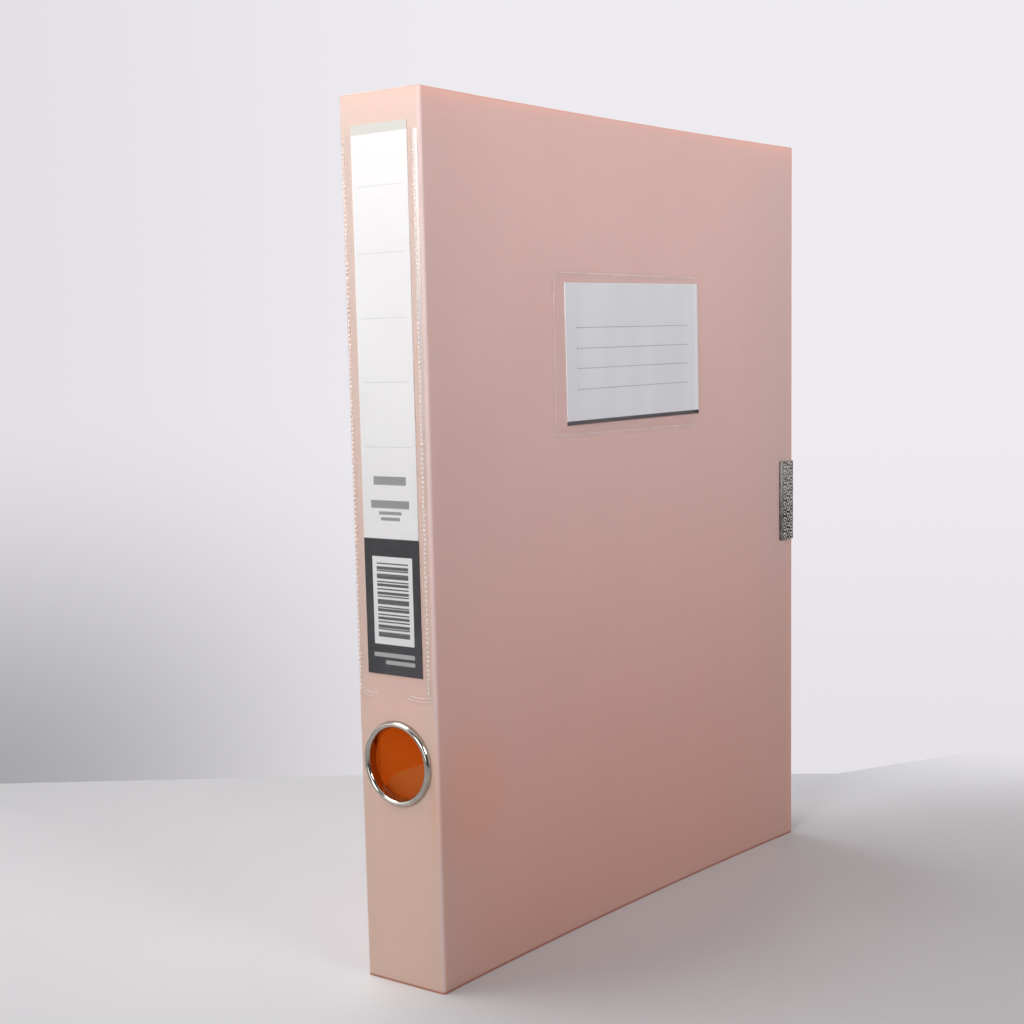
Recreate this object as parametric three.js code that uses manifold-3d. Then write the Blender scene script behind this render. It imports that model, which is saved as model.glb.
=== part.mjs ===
// File storage box for A4 papers: a folded plastic tray with a hinged spine and front cover,
// a metal finger ring in the spine, two clear label pockets and a magnetic clip on the cover's edge.
// Millimetres. The box stands on its bottom end wall at z = 0, and +Z is up.
// +X runs from the spine to the fore-edge, and the front cover faces -Y.

import * as THREE from "three";
import { mergeVertices } from "three/addons/utils/BufferGeometryUtils.js";
import Module from "manifold-3d";

const wasm = await Module();
wasm.setup();

// Box and sheet
const boxWidth = 246;
const boxDepth = 36;
const boxHeight = 308;
const sheet = 1.0;
const creaseRadius = 1.3; // outer radius of a folded edge
const coverBow = 2.9; // how far the cover dips in at the middle of its width
const cornerRadius = 0.8; // free corners of the cover
const clearance = 0.3; // between pieces that move or are cut by each other
const seat = 0.1; // between faces that are clamped, welded or glued

// Tray flange and tabs
const flangeWidth = 24;
const flangeTaper = 14; // how much shorter the flange's free edge is at each end
const flangeCorner = 6;
const cornerTabLength = 42; // tabs riveted inside the fore-edge wall
const cornerTabTaper = 5;
const spineTabLength = 83; // free tabs behind the spine
const spineTabSlant = 10; // how much lower the tip is at its back corner
const spineTabTaper = 5;
const spineTabLean = 2.5; // degrees that a free tab leans into the box
const tabCorner = 5;
const reliefWidth = 2.2; // notch between two creases that meet at a corner

// Finger ring
const ringHeight = 80.3; // height of its centre
const ringOpening = 25.5;
const ringOuter = 30.5;
const ringRise = 1.9;
const ringMetal = 0.45;
const ringCurl = 0.6; // radius that the neck is curled over the washer
const washerThickness = 0.6;

// Spine pocket and card
const filmThickness = 0.25;
const cardThickness = 0.3;
const pocketMargin = 1.2; // free film round a card
const spineFilmWidth = 33.8;
const spineFilmTop = 294.4;
const spineFilmBottom = 102.6;
const spineCardWidth = 25;
const spineCardHeight = 186;
const spineCardAboveFilm = 3.2;

// Cover pocket and card
const coverFilmLeft = -50.8;
const coverFilmWidth = 96.2;
const coverFilmTop = 251.4;
const coverFilmHeight = 61.9;
const coverCardWidth = 90.6;
const coverCardHeight = 52.4;
const coverCardShift = 5.9; // centre of the card to the right of the film's centre
const coverCardTurn = 0.8; // degrees

// Edge clip and magnet
const clipLength = 35;
const clipOuterLeg = 10.3;
const clipInnerLeg = 8;
const clipMetal = 0.4;
const clipBend = 0.7;
const clipBorder = 1.6; // plain strip along the outer leg
const rosettePitch = 7;
const rosetteRadius = 1.5;
const reliefHeight = 0.25;
const magnetLength = 28;
const magnetWidth = 6;
const magnetThickness = 3;
const holderWall = 1.2;
const holderLip = 0.5; // how far the holder stands out of the flange
const holderEar = 7; // length of the rim beyond the holder's body

// Rivets
const rivetRadius = 1.5;
const rivetHeadRadius = 3.2;
const rivetHeadHeight = 0.8;
const cornerRivetHeight = 24; // from the end wall

// Places that follow from the sizes above
const left = -boxWidth / 2;
const right = boxWidth / 2;
const front = -boxDepth / 2;
const back = boxDepth / 2;
const middleHeight = boxHeight / 2;
const coverInside = front + sheet;
const spineInside = left + sheet;
const hingeX = left + creaseRadius;
const backHingeY = back - creaseRadius;
const frontHingeY = front + creaseRadius;
const coverSpan = right - hingeX;
const clipTilt = Math.atan2(4 * coverBow, coverSpan);

const clipInnerDepth = clearance + clipMetal + clipInnerLeg * Math.tan(clipTilt);
const holderFace = coverInside + clipInnerDepth + clearance;
const flangeEdgeFace = coverInside + bowAt(right - flangeWidth) + clearance;
const flangeFace = Math.max(holderFace + holderLip, flangeEdgeFace);
const flangeInside = flangeFace + sheet;
const endWallFront = Math.max(coverInside + coverBow, flangeInside) + clearance;
const foreTabFace = right - sheet - clearance;
const spineTabFace = spineInside + clearance;

const neckOuter = ringOpening / 2 + ringMetal;
const fingerHoleRadius = neckOuter + clearance;

// How far the cover's outer face lies behind its edges, at a place along its width
function bowAt(x) {
  const s = (x - hingeX) / coverSpan;
  return 4 * coverBow * s * (1 - s);
}

// Solids from geometry, and back
function solid(geometry) {
  const bare = geometry.index ? geometry.toNonIndexed() : geometry.clone();
  bare.deleteAttribute("normal");
  bare.deleteAttribute("uv");
  const merged = mergeVertices(bare, 1e-4);
  const vertProperties = new Float32Array(merged.attributes.position.array);
  const triVerts = new Uint32Array(merged.index.array);
  return new wasm.Manifold(new wasm.Mesh({ numProp: 3, vertProperties, triVerts }));
}

function geometryOf(body) {
  const mesh = body.getMesh();
  const geometry = new THREE.BufferGeometry();
  geometry.setAttribute("position", new THREE.BufferAttribute(new Float32Array(mesh.vertProperties), 3));
  geometry.setIndex(new THREE.BufferAttribute(new Uint32Array(mesh.triVerts), 1));
  geometry.computeVertexNormals();
  return geometry;
}

// An outline through corners given as [x, y, radius]; a radius rounds its corner with a true arc
function outline(corners) {
  const shape = new THREE.Shape();
  corners.forEach(([x, y, radius = 0], i) => {
    const corner = new THREE.Vector2(x, y);
    const before = new THREE.Vector2(...corners.at(i - 1).slice(0, 2)).sub(corner).normalize();
    const after = new THREE.Vector2(...corners[(i + 1) % corners.length].slice(0, 2)).sub(corner).normalize();
    if (radius <= 0) {
      if (i === 0) shape.moveTo(x, y);
      else shape.lineTo(x, y);
      return;
    }
    const half = Math.acos(THREE.MathUtils.clamp(before.dot(after), -1, 1)) / 2;
    const start = corner.clone().addScaledVector(before, radius / Math.tan(half));
    const end = corner.clone().addScaledVector(after, radius / Math.tan(half));
    const middle = before.clone().add(after).normalize();
    const centre = corner.clone().addScaledVector(middle, radius / Math.sin(half));
    const from = Math.atan2(start.y - centre.y, start.x - centre.x);
    const to = Math.atan2(end.y - centre.y, end.x - centre.x);
    const clockwise = before.cross(after) > 0;
    if (i === 0) shape.moveTo(start.x, start.y);
    else shape.lineTo(start.x, start.y);
    shape.absarc(centre.x, centre.y, radius, from, to, clockwise);
  });
  shape.closePath();
  return shape;
}

function rectangle(x0, y0, x1, y1, radius = 0) {
  return outline([[x0, y0, radius], [x1, y0, radius], [x1, y1, radius], [x0, y1, radius]]);
}

// Section of a sheet folded along a path: the path is the outer face, and every bend turns left
function foldedSection(path, thickness, radius) {
  const points = path.map(([x, y]) => new THREE.Vector2(x, y));
  const normals = points.slice(1).map((p, i) => {
    const along = p.clone().sub(points[i]).normalize();
    return new THREE.Vector2(-along.y, along.x);
  });
  const inner = points.map((p, i) => {
    const a = normals[Math.max(i - 1, 0)];
    const b = normals[Math.min(i, normals.length - 1)];
    return p.clone().addScaledVector(a.clone().add(b), thickness / (1 + a.dot(b)));
  });
  const isBend = (i) => i > 0 && i < points.length - 1;
  const outerCorners = points.map((p, i) => [p.x, p.y, isBend(i) ? radius : 0]);
  const innerCorners = inner.map((p, i) => [p.x, p.y, isBend(i) ? Math.max(radius - thickness, 0) : 0]);
  return outline([...outerCorners, ...innerCorners.reverse()]);
}

// Extrusions along each axis. A shape for alongX is drawn in Y and Z, for alongY in X and Z.
const axisX = new THREE.Vector3(1, 0, 0);
const axisY = new THREE.Vector3(0, 1, 0);
const axisZ = new THREE.Vector3(0, 0, 1);

function extrude(shape, depth, segments = 6) {
  return new THREE.ExtrudeGeometry(shape, { depth, bevelEnabled: false, curveSegments: segments });
}

function alongX(shape, from, to, segments) {
  const turned = extrude(shape, to - from, segments);
  turned.applyMatrix4(new THREE.Matrix4().makeBasis(axisY, axisZ, axisX));
  return solid(turned.translate(from, 0, 0));
}

function alongY(shape, from, to, segments) {
  const turned = extrude(shape, to - from, segments);
  turned.applyMatrix4(new THREE.Matrix4().makeBasis(axisX, axisZ, axisY.clone().negate()));
  return solid(turned.translate(0, to, 0));
}

function alongZ(shape, from, to, segments) {
  return solid(extrude(shape, to - from, segments).translate(0, 0, from));
}

function circle(x, y, radius) {
  return new THREE.Shape().absarc(x, y, radius, 0, 2 * Math.PI);
}

// A section turned about an axis that points along +X or -Y, with its profile given as [radius, height]
function revolve(profile, direction, segments = 40) {
  const closed = profile.map(([r, h]) => new THREE.Vector2(r, h));
  const lathe = new THREE.LatheGeometry(closed, segments);
  const turn = new THREE.Quaternion().setFromUnitVectors(axisY, direction);
  return solid(lathe.applyQuaternion(turn));
}

// A plate that follows the cover's bow, between two offsets outward from its outer face
function bowedPlate(x0, x1, z0, z1, near, far) {
  const steps = Math.max(4, Math.round((x1 - x0) / 10));
  const faceAt = (i) => [x0 + ((x1 - x0) * i) / steps, front + bowAt(x0 + ((x1 - x0) * i) / steps)];
  const face = Array.from({ length: steps + 1 }, (_, i) => faceAt(i));
  const outer = face.map(([x, y]) => [x, y - far]);
  const inner = face.map(([x, y]) => [x, y - near]).reverse();
  return alongZ(outline([...outer, ...inner]), z0, z1);
}

// Materials
const plastic = new THREE.MeshStandardMaterial({ color: 0xd8b3ac, roughness: 0.55, metalness: 0 });
const clearFilm = new THREE.MeshStandardMaterial({ color: 0xf2eeee, roughness: 0.15, metalness: 0 });
const card = new THREE.MeshStandardMaterial({ color: 0xf4f2f1, roughness: 0.85, metalness: 0 });
const plated = new THREE.MeshStandardMaterial({ color: 0xc9c7c4, roughness: 0.22, metalness: 1 });
const magnetGrey = new THREE.MeshStandardMaterial({ color: 0x4a4a4c, roughness: 0.5, metalness: 0.6 });
const holderWhite = new THREE.MeshStandardMaterial({ color: 0xe6dcda, roughness: 0.5, metalness: 0 });

const box = new THREE.Group();

function add(name, body, material, parent = box) {
  const mesh = new THREE.Mesh(geometryOf(body), material);
  mesh.name = name;
  parent.add(mesh);
}

// Tray: the sheet's back panel, end walls and fore-edge wall, with their tabs and flange
function endWallsAndBack() {
  const path = [[endWallFront, 0], [back, 0], [back, boxHeight], [endWallFront, boxHeight]];
  const section = foldedSection(path, sheet, creaseRadius);
  const walls = alongX(section, spineTabFace + creaseRadius, foreTabFace - creaseRadius);
  const panel = alongY(rectangle(hingeX, 0, right - creaseRadius, boxHeight), back - sheet, back);
  return walls.add(panel);
}

function foreEdgeWall() {
  const freeEdge = right - flangeWidth;
  const path = [[freeEdge, flangeFace], [right, flangeFace], [right, back], [right - 2 * creaseRadius, back]];
  const wall = alongZ(foldedSection(path, sheet, creaseRadius), 0, boxHeight);
  const trim = outline([
    [right + sheet, 0],
    [right + sheet, boxHeight],
    [right - creaseRadius, boxHeight],
    [freeEdge, boxHeight - flangeTaper, flangeCorner],
    [freeEdge, flangeTaper, flangeCorner],
    [right - creaseRadius, 0],
  ]);
  return wall.intersect(alongY(trim, flangeFace - sheet, back + sheet));
}

// A tab folded up from the bottom end wall and trimmed to its outline in Y and Z
function tab(face, outward, lean, length, shape) {
  const angle = THREE.MathUtils.degToRad(lean);
  const tip = [face - outward * length * Math.sin(angle), length * Math.cos(angle)];
  const root = [face - outward * 2 * creaseRadius, 0];
  const outer = outward > 0 ? [root, [face, 0], tip] : [tip, [face, 0], root];
  const strip = alongY(foldedSection(outer, sheet, creaseRadius), front, back);
  return strip.intersect(alongX(shape, face - length, face + length));
}

function spineTab() {
  const backEdge = back - reliefWidth;
  return tab(spineTabFace, -1, spineTabLean, spineTabLength, outline([
    [endWallFront, -sheet],
    [backEdge, -sheet],
    [backEdge - spineTabTaper, spineTabLength - spineTabSlant, 2 * tabCorner],
    [endWallFront, spineTabLength, tabCorner],
  ]));
}

function cornerTab() {
  const backEdge = back - reliefWidth;
  return tab(foreTabFace, 1, 0, cornerTabLength, outline([
    [endWallFront, -sheet],
    [backEdge, -sheet],
    [backEdge - cornerTabTaper, cornerTabLength, tabCorner],
    [endWallFront + cornerTabTaper, cornerTabLength, tabCorner],
  ]));
}

// The same piece at the top end: a mirror image in the box's middle height
function atTop(body) {
  return body.mirror([0, 0, 1]).translate([0, 0, boxHeight]);
}

const rivetHole = rivetRadius + seat;
const cornerRivetY = (endWallFront + back - reliefWidth) / 2;
const holderRivetOffset = magnetLength / 2 + holderWall + holderEar / 2;
const magnetX = right - clipInnerLeg / 2 - clearance - magnetWidth / 4;
const holderHalfWidth = magnetWidth / 2 + holderWall;
const holderHalfLength = magnetLength / 2 + holderWall;

function cornerRivetHole() {
  return alongX(circle(cornerRivetY, cornerRivetHeight, rivetHole), foreTabFace - 2 * sheet, right + sheet);
}

function holderWindow() {
  const window = rectangle(
    magnetX - holderHalfWidth - seat,
    middleHeight - holderHalfLength - seat,
    magnetX + holderHalfWidth + seat,
    middleHeight + holderHalfLength + seat,
  );
  const opening = alongY(window, flangeFace - sheet, flangeInside + sheet);
  const holes = [-1, 1].map((side) => {
    const hole = circle(magnetX, middleHeight + side * holderRivetOffset, rivetHole);
    return alongY(hole, flangeFace - sheet, flangeInside + sheet);
  });
  return opening.add(holes[0]).add(holes[1]);
}

function hingeClearance(y) {
  return alongZ(circle(hingeX, y, creaseRadius + clearance), -sheet, boxHeight + sheet);
}

const tray = endWallsAndBack()
  .add(foreEdgeWall())
  .add(spineTab())
  .add(atTop(spineTab()))
  .add(cornerTab())
  .add(atTop(cornerTab()))
  .subtract(hingeClearance(backHingeY))
  .subtract(cornerRivetHole())
  .subtract(atTop(cornerRivetHole()))
  .subtract(holderWindow());
add("tray", tray, plastic);

// Spine: its back edge is bent into the crease that it swings on, and it carries the finger hole
const spinePath = [[hingeX, back], [left, back], [left, frontHingeY]];
const spine = alongZ(foldedSection(spinePath, sheet, creaseRadius), 0, boxHeight)
  .subtract(hingeClearance(frontHingeY))
  .subtract(alongX(circle(0, ringHeight, fingerHoleRadius), left - sheet, spineInside + sheet, 32));
add("spine_panel", spine, plastic);

// Front cover: bent into its crease along the spine, then one long inward bow
function coverSection() {
  const steps = 24;
  const centre = new THREE.Vector2(hingeX, frontHingeY);
  const bend = (radius) => Array.from({ length: 7 }, (_, i) => {
    const angle = Math.PI * (1 + i / 12);
    return [centre.x + radius * Math.cos(angle), centre.y + radius * Math.sin(angle)];
  });
  const run = (inset) => Array.from({ length: steps }, (_, i) => {
    const x = hingeX + (coverSpan * (i + 1)) / steps;
    return [x, front + bowAt(x) + inset];
  });
  const outer = [...bend(creaseRadius), ...run(0)];
  const inner = [...bend(Math.max(creaseRadius - sheet, 0.05)), ...run(sheet)].reverse();
  return outline([...outer, ...inner]);
}

const coverTrim = outline([
  [left - sheet, 0],
  [right, 0, cornerRadius],
  [right, boxHeight, cornerRadius],
  [left - sheet, boxHeight],
]);
const cover = alongZ(coverSection(), 0, boxHeight)
  .intersect(alongY(coverTrim, front - sheet, front + coverBow + 3 * sheet));
add("front_cover", cover, plastic);

// Finger ring: a stamped rim whose neck passes through the spine and curls over a washer
function ringFront() {
  const inner = ringOpening / 2;
  const outer = ringOuter / 2;
  const rimCentre = (inner + outer) / 2;
  const rimHalf = (outer - inner) / 2;
  const arc = (half, rise, count) => Array.from({ length: count + 1 }, (_, i) => {
    const angle = (Math.PI * i) / count;
    return [rimCentre + half * Math.cos(angle), seat + rise * Math.sin(angle)];
  });
  const neckEnd = -sheet - seat - washerThickness - ringCurl;
  const curl = [[inner, neckEnd + ringCurl / 2], [inner + ringMetal, neckEnd], [neckOuter + ringCurl, neckEnd]];
  const under = [[neckOuter + ringCurl, neckEnd + ringMetal], [neckOuter, neckEnd + ringMetal]];
  const rimInside = arc(rimHalf - ringMetal, ringRise - ringMetal, 5).reverse();
  return [...arc(rimHalf, ringRise, 10), ...curl, ...under, ...rimInside];
}

function placeOnSpine(body) {
  return body.translate([left, 0, ringHeight]);
}

const outwardFromSpine = axisX.clone().negate();
const ringProfile = ringFront();
ringProfile.push(ringProfile[0]);
add("finger_ring_front", placeOnSpine(revolve(ringProfile, outwardFromSpine)), plated);

const washerTop = -sheet - seat;
const washerInner = neckOuter + seat;
const washerOuter = ringOuter / 2;
const washerProfile = [
  [washerInner, washerTop - washerThickness],
  [washerOuter - washerThickness / 2, washerTop - washerThickness],
  [washerOuter, washerTop - washerThickness / 2],
  [washerOuter, washerTop],
  [washerInner, washerTop],
  [washerInner, washerTop - washerThickness],
];
add("finger_ring_back", placeOnSpine(revolve(washerProfile, outwardFromSpine)), plated);

// Spine pocket: a film with a raised pan for the card, open at the top
const cardNear = seat;
const cardFar = cardNear + cardThickness;
const panNear = cardFar + seat;
const panFar = panNear + filmThickness;
const spineCardTop = spineFilmTop + spineCardAboveFilm;
const spineCardBottom = spineCardTop - spineCardHeight;
const recessHalf = spineCardWidth / 2 + pocketMargin;
const recessBottom = spineCardBottom - pocketMargin;
const spineFilmHalf = spineFilmWidth / 2;

const spineRim = rectangle(-spineFilmHalf, spineFilmBottom, spineFilmHalf, spineFilmTop, filmThickness);
const spinePan = rectangle(
  -recessHalf - filmThickness,
  recessBottom - filmThickness,
  recessHalf + filmThickness,
  spineFilmTop,
);
const spineRecess = rectangle(-recessHalf, recessBottom, recessHalf, spineFilmTop + pocketMargin);
const spineFilm = alongX(spineRim, left - seat - filmThickness, left - seat)
  .add(alongX(spinePan, left - panFar, left - seat))
  .subtract(alongX(spineRecess, left - panNear, left));
add("spine_pocket_film", spineFilm, clearFilm);

const spineCardShape = rectangle(-spineCardWidth / 2, spineCardBottom, spineCardWidth / 2, spineCardTop);
add("spine_label_card", alongX(spineCardShape, left - cardFar, left - cardNear), card);

// Cover pocket: the same film laid on the cover's bow, open towards the fore-edge
const coverFilmRight = coverFilmLeft + coverFilmWidth;
const coverFilmBottom = coverFilmTop - coverFilmHeight;
const cardX = (coverFilmLeft + coverFilmRight) / 2 + coverCardShift;
const cardZ = (coverFilmTop + coverFilmBottom) / 2 + pocketMargin / 2;
const turn = THREE.MathUtils.degToRad(coverCardTurn);
const turnedHeight = coverCardHeight * Math.cos(turn) + coverCardWidth * Math.sin(turn);
const turnedWidth = coverCardWidth * Math.cos(turn) + coverCardHeight * Math.sin(turn);
const panLeft = cardX - turnedWidth / 2 - pocketMargin;
const panLow = cardZ - turnedHeight / 2 - pocketMargin;
const panHigh = cardZ + turnedHeight / 2 + pocketMargin;

const coverFilm = bowedPlate(coverFilmLeft, coverFilmRight, coverFilmBottom, coverFilmTop, seat, seat + filmThickness)
  .add(bowedPlate(
    panLeft - filmThickness,
    coverFilmRight,
    panLow - filmThickness,
    panHigh + filmThickness,
    seat,
    panFar,
  ))
  .subtract(bowedPlate(panLeft, coverFilmRight + pocketMargin, panLow, panHigh, 0, panNear));
add("front_pocket_film", coverFilm, clearFilm);

function turnedCorner(x, z) {
  const corner = new THREE.Vector2(x, z).rotateAround(new THREE.Vector2(0, 0), turn);
  return [cardX + corner.x, cardZ + corner.y];
}

const halfCard = [coverCardWidth / 2, coverCardHeight / 2];
const coverCardShape = outline([
  turnedCorner(-halfCard[0], -halfCard[1]),
  turnedCorner(halfCard[0], -halfCard[1]),
  turnedCorner(halfCard[0], halfCard[1]),
  turnedCorner(-halfCard[0], halfCard[1]),
]);
const coverCard = bowedPlate(panLeft, cardX + turnedWidth, panLow, panHigh, cardNear, cardFar)
  .intersect(alongY(coverCardShape, front - sheet, front + coverBow + sheet));
add("front_label_card", coverCard, card);

// Edge clip: a strip folded round the cover's fore-edge, with a relief of rosettes on its outer leg
const clipFar = clearance + clipMetal;

function clipBody() {
  const path = [
    [-clipOuterLeg, -clipFar],
    [clipFar, -clipFar],
    [clipFar, sheet + clipFar],
    [-clipInnerLeg, sheet + clipFar],
  ];
  return alongZ(foldedSection(path, clipMetal, clipBend), -clipLength / 2, clipLength / 2, 5);
}

function reliefDome(x, z, radius) {
  const dome = [[0, -reliefHeight], [radius, -reliefHeight], [radius, 0]];
  for (let i = 1; i < 3; i += 1) {
    const angle = (Math.PI / 2) * (i / 3);
    dome.push([radius * Math.cos(angle), reliefHeight * Math.sin(angle)]);
  }
  dome.push([0, reliefHeight]);
  return revolve(dome, axisY.clone().negate(), 10).translate([x, -clipFar, z]);
}

function reliefRing(x, z, radius) {
  const wire = radius / 3;
  const ring = [];
  for (let i = 0; i <= 5; i += 1) {
    const angle = (Math.PI * i) / 5;
    ring.push([radius - wire + wire * Math.cos(angle), reliefHeight * Math.sin(angle)]);
  }
  ring.push([radius - 2 * wire, -reliefHeight], [radius, -reliefHeight], ring[0]);
  return revolve(ring, axisY.clone().negate(), 16).translate([x, -clipFar, z]);
}

function reliefLeaf(x, z, length) {
  const leaf = new THREE.Shape();
  leaf.moveTo(-length / 2, -length / 3);
  leaf.quadraticCurveTo(length / 4, -length / 3, length / 2, length / 3);
  leaf.quadraticCurveTo(-length / 6, length / 4, -length / 2, -length / 3);
  return alongY(leaf, -clipFar - reliefHeight / 2, -clipFar + reliefHeight / 2, 6).translate([x, 0, z]);
}

function clipRelief() {
  const fieldLeft = -clipOuterLeg + clipBorder;
  const count = Math.max(1, Math.floor(clipLength / rosettePitch));
  const ringX = (fieldLeft + clipFar) / 2 - rosetteRadius / 3;
  const dotX = fieldLeft + rosetteRadius / 2;
  const leafX = clipFar - clipBend - rosetteRadius;
  const borderShape = [-clipOuterLeg + clipBorder / 4, -clipOuterLeg + clipBorder];
  const parts = [alongZ(
    rectangle(borderShape[0], -clipFar - reliefHeight / 2, borderShape[1], -clipFar + reliefHeight / 2),
    -clipLength / 2,
    clipLength / 2,
  )];
  for (let i = 0; i < count; i += 1) {
    const z = (i - (count - 1) / 2) * rosettePitch;
    parts.push(reliefRing(ringX, z, rosetteRadius));
    parts.push(reliefDome(ringX, z, rosetteRadius / 4));
    parts.push(reliefDome(dotX, z + rosettePitch / 3, rosetteRadius / 3));
    parts.push(reliefDome(dotX, z - rosettePitch / 3, rosetteRadius / 3));
    parts.push(reliefLeaf(leafX, z, rosetteRadius * 1.6));
  }
  return parts;
}

const clip = clipRelief().reduce((body, part) => body.add(part), clipBody());
const clipPlace = new THREE.Group();
clipPlace.position.set(right, front, middleHeight);
clipPlace.rotation.z = -clipTilt;
box.add(clipPlace);
add("clasp_plate", clip, plated, clipPlace);

// Magnet holder: a moulded cup that stands through the flange, with a rim riveted behind it
const cupFloor = holderFace + magnetThickness + holderWall;
const rimFace = flangeInside + seat;
const rimHalfLength = holderHalfLength + holderEar;
const cupShape = rectangle(
  magnetX - holderHalfWidth,
  middleHeight - holderHalfLength,
  magnetX + holderHalfWidth,
  middleHeight + holderHalfLength,
  holderWall / 2,
);
const rimShape = rectangle(
  magnetX - holderHalfWidth - holderWall,
  middleHeight - rimHalfLength,
  magnetX + holderHalfWidth,
  middleHeight + rimHalfLength,
  holderWall,
);
const magnetPocket = rectangle(
  magnetX - magnetWidth / 2 - seat,
  middleHeight - magnetLength / 2 - seat,
  magnetX + magnetWidth / 2 + seat,
  middleHeight + magnetLength / 2 + seat,
);
let holder = alongY(cupShape, holderFace, cupFloor)
  .add(alongY(rimShape, rimFace, rimFace + holderWall))
  .subtract(alongY(magnetPocket, holderFace - sheet, holderFace + magnetThickness + seat));
for (const side of [-1, 1]) {
  const hole = circle(magnetX, middleHeight + side * holderRivetOffset, rivetHole);
  holder = holder.subtract(alongY(hole, rimFace - sheet, rimFace + holderWall + sheet));
}
add("magnet_holder", holder, holderWhite);

const magnetShape = rectangle(
  magnetX - magnetWidth / 2,
  middleHeight - magnetLength / 2,
  magnetX + magnetWidth / 2,
  middleHeight + magnetLength / 2,
);
add("magnet_bar", alongY(magnetShape, holderFace, holderFace + magnetThickness), magnetGrey);

// Rivets: a domed head, a shank through both layers and a flattened tail
function rivet(grip, direction) {
  const dome = Array.from({ length: 4 }, (_, i) => {
    const angle = (Math.PI / 2) * (i / 4);
    return [rivetHeadRadius * Math.cos(angle), seat + rivetHeadHeight * Math.sin(angle)];
  });
  const tailRadius = rivetHeadRadius * 0.8;
  const tail = -grip - seat;
  const profile = [
    [0, tail - rivetHeadHeight / 2],
    [tailRadius, tail - rivetHeadHeight / 2],
    [tailRadius, tail],
    [rivetRadius, tail],
    [rivetRadius, seat],
    ...dome,
    [0, seat + rivetHeadHeight],
  ];
  return revolve(profile, direction, 20);
}

const cornerGrip = 2 * sheet + clearance;
const cornerRivet = rivet(cornerGrip, axisX).translate([right, cornerRivetY, cornerRivetHeight]);
add("corner_rivet_bottom", cornerRivet, plated);
add("corner_rivet_top", atTop(cornerRivet), plated);

const holderGrip = sheet + seat + holderWall;
for (const [name, side] of [["holder_rivet_bottom", -1], ["holder_rivet_top", 1]]) {
  const place = [magnetX, flangeFace, middleHeight + side * holderRivetOffset];
  add(name, rivet(holderGrip, axisY.clone().negate()).translate(place), plated);
}

export default box;
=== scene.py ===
import math

import bmesh
import bpy
import numpy as np
from mathutils import Matrix, Vector


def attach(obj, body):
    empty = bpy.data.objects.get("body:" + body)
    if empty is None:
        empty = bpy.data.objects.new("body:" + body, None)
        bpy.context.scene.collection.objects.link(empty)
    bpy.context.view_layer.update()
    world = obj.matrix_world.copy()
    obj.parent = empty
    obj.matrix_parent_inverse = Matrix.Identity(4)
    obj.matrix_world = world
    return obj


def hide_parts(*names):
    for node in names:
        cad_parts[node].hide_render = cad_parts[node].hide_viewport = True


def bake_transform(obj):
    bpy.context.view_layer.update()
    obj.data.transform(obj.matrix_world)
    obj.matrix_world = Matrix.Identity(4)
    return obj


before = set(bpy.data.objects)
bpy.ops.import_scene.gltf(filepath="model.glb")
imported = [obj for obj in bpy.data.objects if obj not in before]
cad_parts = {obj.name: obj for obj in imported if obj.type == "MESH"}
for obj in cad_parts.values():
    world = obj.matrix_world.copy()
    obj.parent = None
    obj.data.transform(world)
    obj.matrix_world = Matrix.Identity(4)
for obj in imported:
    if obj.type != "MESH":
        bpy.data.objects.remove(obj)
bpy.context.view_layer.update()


# Camera
# It stands at the front left of the box, a little above its middle, and sees the spine and the
# front cover. The lens and the small shift are those of the photograph's framing.
camera_data = bpy.data.cameras.new("camera")
camera_data.sensor_width = 36
camera_data.lens = 59.847
camera_data.shift_x = -0.02413
camera_data.shift_y = 0.07926
camera = bpy.data.objects.new("camera", camera_data)
camera_right = (0.608729, -0.793130, -0.019829)
camera_up = (0.121464, 0.068467, 0.990232)
camera_back = (-0.784025, -0.605192, 0.138014)
camera_turn = Matrix((camera_right, camera_up, camera_back)).transposed().to_4x4()
camera_place = Vector((-0.551831, -0.393248, 0.220141))
camera.matrix_world = Matrix.Translation(camera_place) @ camera_turn
bpy.context.scene.collection.objects.link(camera)
bpy.context.scene.camera = camera
bpy.context.scene.view_settings.view_transform = "Standard"


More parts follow.
